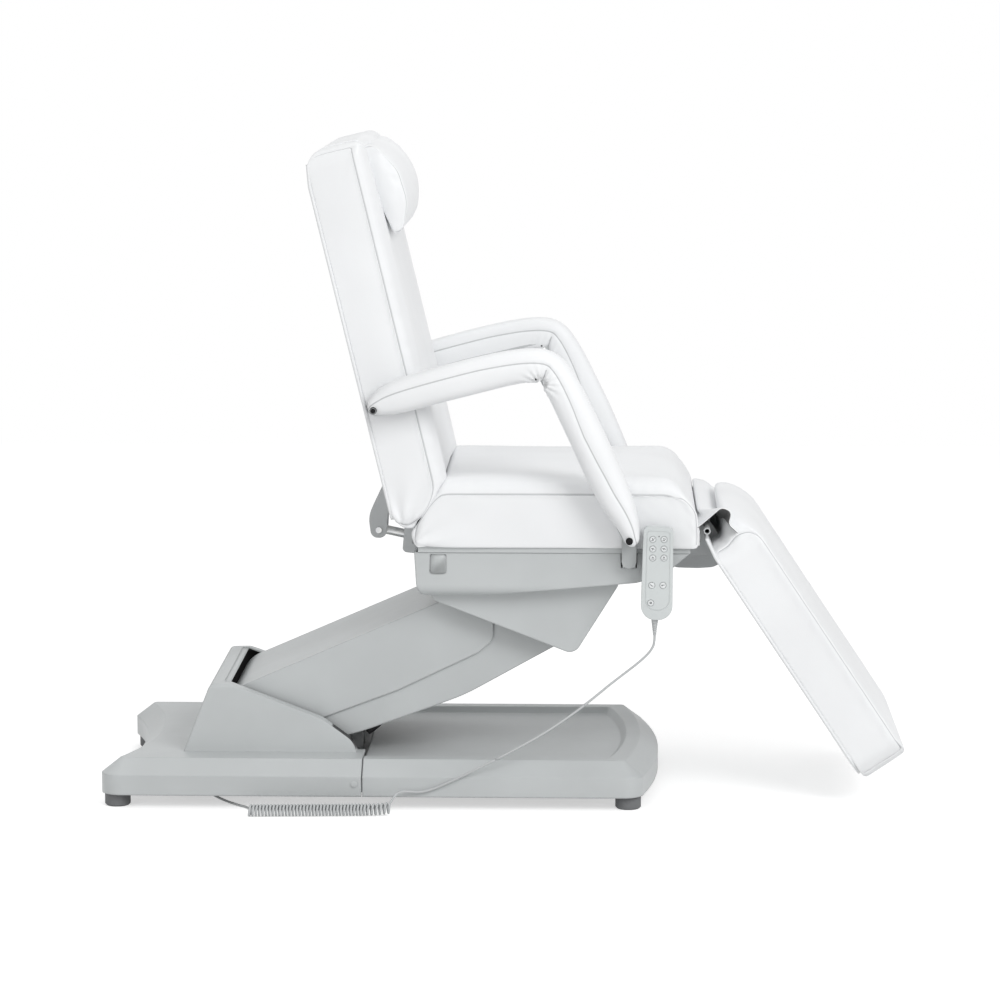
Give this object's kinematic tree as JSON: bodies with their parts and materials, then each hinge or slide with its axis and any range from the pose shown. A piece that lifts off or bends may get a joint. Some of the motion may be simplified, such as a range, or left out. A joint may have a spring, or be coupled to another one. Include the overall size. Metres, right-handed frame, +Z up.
{
  "type": "beauty treatment chair",
  "caption": "White padded treatment chair on a powered lift arm with reclining back, raising legrest, folding armrests, hanging handset and a grey moulded base",
  "frame": {"origin": "on the floor under the middle of the chair without its cord", "axes": "+X to the foot end, +Y to the sitter's left, away from the handset, +Z up"},
  "size_m": [1.5344, 0.7077, 1.2739],
  "materials": {
    "leather_white": "white grained leatherette with a soft sheen",
    "cover_grey": "light grey moulded plastic, fine texture",
    "frame_grey": "light grey powder coat",
    "zinc_steel": "ground steel",
    "cap_black": "black",
    "motor_black": "black moulded plastic",
    "foot_rubber": "grey rubber",
    "board": "plywood",
    "handset_grey": "grey moulded plastic",
    "key_white": "pale grey keys",
    "cord_grey": "grey cord jacket"
  },
  "bodies": {
    "base": {"base_frame": "frame_grey", "base_cover_rear": "cover_grey", "base_cover_front": "cover_grey", "rubber_feet": "foot_rubber", "control_box": "motor_black", "base_pivot_pins": "zinc_steel", "cord_gland": "cord_grey", "cord_floor_lead": "cord_grey", "cord_coil": "cord_grey", "cord_rise": "cord_grey"},
    "lift_arm": {"lift_arm_beam": "frame_grey", "arm_cover_upper": "cover_grey", "arm_cover_lower": "cover_grey"},
    "parallel_link": {"parallel_link": "frame_grey"},
    "lift_rod": {"lift_actuator_rod": "zinc_steel"},
    "lift_tube": {"lift_actuator_tube": "motor_black"},
    "seat": {"seat_frame": "frame_grey", "seat_housing": "cover_grey", "seat_board": "board", "seat_cushion": "leather_white", "seat_pivot_pins": "zinc_steel", "armrest_bolts": "cap_black", "handset_hook": "frame_grey", "leg_hinge_tube": "frame_grey", "hinge_flap": "leather_white"},
    "backrest": {"back_frame": "frame_grey", "back_board": "board", "back_cushion": "leather_white", "back_lever_pin": "zinc_steel"},
    "headrest": {"headrest_pillow": "leather_white", "headrest_strap": "leather_white"},
    "legrest": {"leg_frame": "frame_grey", "leg_board": "board", "leg_cushion": "leather_white", "leg_lever_pin": "zinc_steel"},
    "back_rod": {"back_actuator_rod": "zinc_steel"},
    "back_tube": {"back_actuator_tube": "motor_black"},
    "leg_rod": {"leg_actuator_rod": "zinc_steel"},
    "leg_tube": {"leg_actuator_tube": "motor_black"},
    "handset": {"handset_front": "handset_grey", "handset_back": "handset_grey", "cord_strain_relief": "cord_grey", "cord_hanging": "cord_grey"},
    "arm_front_near": {"armrest_front_frame_near": "frame_grey", "armrest_front_pad_near": "leather_white"},
    "arm_top_near": {"armrest_top_frame_near": "frame_grey", "armrest_top_pad_near": "leather_white"},
    "arm_front_far": {"armrest_front_frame_far": "frame_grey", "armrest_front_pad_far": "leather_white"},
    "arm_top_far": {"armrest_top_frame_far": "frame_grey", "armrest_top_pad_far": "leather_white"},
    "key_back_up": {"key_back_up": "key_white"},
    "key_back_down": {"key_back_down": "key_white"},
    "key_leg_up": {"key_leg_up": "key_white"},
    "key_leg_down": {"key_leg_down": "key_white"},
    "key_lift_up": {"key_lift_up": "key_white"},
    "key_lift_down": {"key_lift_down": "key_white"},
    "key_memory_one": {"key_memory_one": "key_white"},
    "key_memory_two": {"key_memory_two": "key_white"},
    "key_stop": {"key_stop": "key_white"}
  },
  "joints": [
    {"name": "lift", "type": "hinge", "parent": "base", "child": "lift_arm", "pos_m": [-0.46423, 0, 0.15], "axis": [0, -1, 0], "range_deg": [0, 28], "deforming": ["cord_rise", "cord_hanging"]},
    {"name": "seat_level", "type": "hinge", "parent": "lift_arm", "child": "seat", "pos_m": [0.09577, 0, 0.335], "axis": [0, -1, 0], "range_deg": [-28, 0]},
    {"name": "link_swing", "type": "hinge", "parent": "base", "child": "parallel_link", "pos_m": [-0.48623, 0, 0.196], "axis": [0, -1, 0], "range_deg": [0, 28]},
    {"name": "lift_rod_turn", "type": "hinge", "parent": "lift_arm", "child": "lift_rod", "pos_m": [-0.04923, 0, 0.3], "axis": [0, -1, 0], "range_deg": [0, 4.99]},
    {"name": "lift_tube_slide", "type": "slide", "parent": "lift_rod", "child": "lift_tube", "axis": [-0.7747, 0, -0.6324], "range_m": [0, 0.0801]},
    {"name": "recline", "type": "hinge", "parent": "seat", "child": "backrest", "pos_m": [-0.18323, 0, 0.532], "axis": [0, -1, 0], "range_deg": [0, 75]},
    {"name": "back_rod_turn", "type": "hinge", "parent": "backrest", "child": "back_rod", "pos_m": [-0.24973, 0, 0.4965], "axis": [0, -1, 0], "range_deg": [-68.24, 0]},
    {"name": "back_tube_slide", "type": "slide", "parent": "back_rod", "child": "back_tube", "axis": [0.9776, 0, -0.2103], "range_m": [-0.08646, 0]},
    {"name": "leg_raise", "type": "hinge", "parent": "seat", "child": "legrest", "pos_m": [0.38477, 0, 0.5346], "axis": [0, -1, 0], "range_deg": [0, 56.3], "deforming": ["hinge_flap"]},
    {"name": "leg_rod_turn", "type": "hinge", "parent": "legrest", "child": "leg_rod", "pos_m": [0.32277, 0, 0.446], "axis": [0, -1, 0], "range_deg": [-62.03, 0]},
    {"name": "leg_tube_slide", "type": "slide", "parent": "leg_rod", "child": "leg_tube", "axis": [-0.9963, 0, -0.0854], "range_m": [0, 0.09853]},
    {"name": "arm_front_near_fold", "type": "hinge", "parent": "seat", "child": "arm_front_near", "pos_m": [0.23807, 0, 0.5251], "axis": [0, -1, 0], "range_deg": [0, 51.64]},
    {"name": "arm_top_near_fold", "type": "hinge", "parent": "arm_front_near", "child": "arm_top_near", "pos_m": [0.07077, 0, 0.849], "axis": [0, -1, 0], "range_deg": [-56.71, 0]},
    {"name": "arm_front_far_fold", "type": "hinge", "parent": "seat", "child": "arm_front_far", "pos_m": [0.23807, 0, 0.5251], "axis": [0, -1, 0], "range_deg": [0, 51.64]},
    {"name": "arm_top_far_fold", "type": "hinge", "parent": "arm_front_far", "child": "arm_top_far", "pos_m": [0.07077, 0, 0.849], "axis": [0, -1, 0], "range_deg": [-56.71, 0]},
    {"name": "headrest_lift", "type": "slide", "parent": "backrest", "child": "headrest", "axis": [-0.2351, 0, 0.972], "range_m": [0, 0.2]},
    {"name": "handset_lift", "type": "slide", "parent": "seat", "child": "handset", "axis": [0, 0, 1], "range_m": [0, 0.12]},
    {"name": "key_back_up_press", "type": "slide", "parent": "handset", "child": "key_back_up", "axis": [0, 1, 0], "range_m": [0, 0.001], "stiffness_N_per_m": 600},
    {"name": "key_back_down_press", "type": "slide", "parent": "handset", "child": "key_back_down", "axis": [0, 1, 0], "range_m": [0, 0.001], "stiffness_N_per_m": 600},
    {"name": "key_leg_up_press", "type": "slide", "parent": "handset", "child": "key_leg_up", "axis": [0, 1, 0], "range_m": [0, 0.001], "stiffness_N_per_m": 600},
    {"name": "key_leg_down_press", "type": "slide", "parent": "handset", "child": "key_leg_down", "axis": [0, 1, 0], "range_m": [0, 0.001], "stiffness_N_per_m": 600},
    {"name": "key_lift_up_press", "type": "slide", "parent": "handset", "child": "key_lift_up", "axis": [0, 1, 0], "range_m": [0, 0.001], "stiffness_N_per_m": 600},
    {"name": "key_lift_down_press", "type": "slide", "parent": "handset", "child": "key_lift_down", "axis": [0, 1, 0], "range_m": [0, 0.001], "stiffness_N_per_m": 600},
    {"name": "key_memory_one_press", "type": "slide", "parent": "handset", "child": "key_memory_one", "axis": [0, 1, 0], "range_m": [0, 0.001], "stiffness_N_per_m": 600},
    {"name": "key_memory_two_press", "type": "slide", "parent": "handset", "child": "key_memory_two", "axis": [0, 1, 0], "range_m": [0, 0.001], "stiffness_N_per_m": 600},
    {"name": "key_stop_press", "type": "slide", "parent": "handset", "child": "key_stop", "axis": [0, 1, 0], "range_m": [0, 0.001], "stiffness_N_per_m": 600}
  ],
  "couplings": [
    {"joint": "seat_level", "follows": "lift", "ratio": -1},
    {"joint": "link_swing", "follows": "lift", "ratio": 1},
    {"joint": "lift_rod_turn", "follows": "lift", "ratio": 0.17739},
    {"joint": "lift_tube_slide", "follows": "lift", "m_per_rad": 0.1637},
    {"joint": "back_rod_turn", "follows": "recline", "ratio": -0.90956},
    {"joint": "back_tube_slide", "follows": "recline", "m_per_rad": -0.065976},
    {"joint": "leg_rod_turn", "follows": "leg_raise", "ratio": -1.1015},
    {"joint": "leg_tube_slide", "follows": "leg_raise", "m_per_rad": 0.10017},
    {"joint": "arm_front_near_fold", "follows": "recline", "ratio": 0.68825},
    {"joint": "arm_top_near_fold", "follows": "recline", "ratio": -0.75592},
    {"joint": "arm_front_far_fold", "follows": "recline", "ratio": 0.68825},
    {"joint": "arm_top_far_fold", "follows": "recline", "ratio": -0.75592}
  ]
}
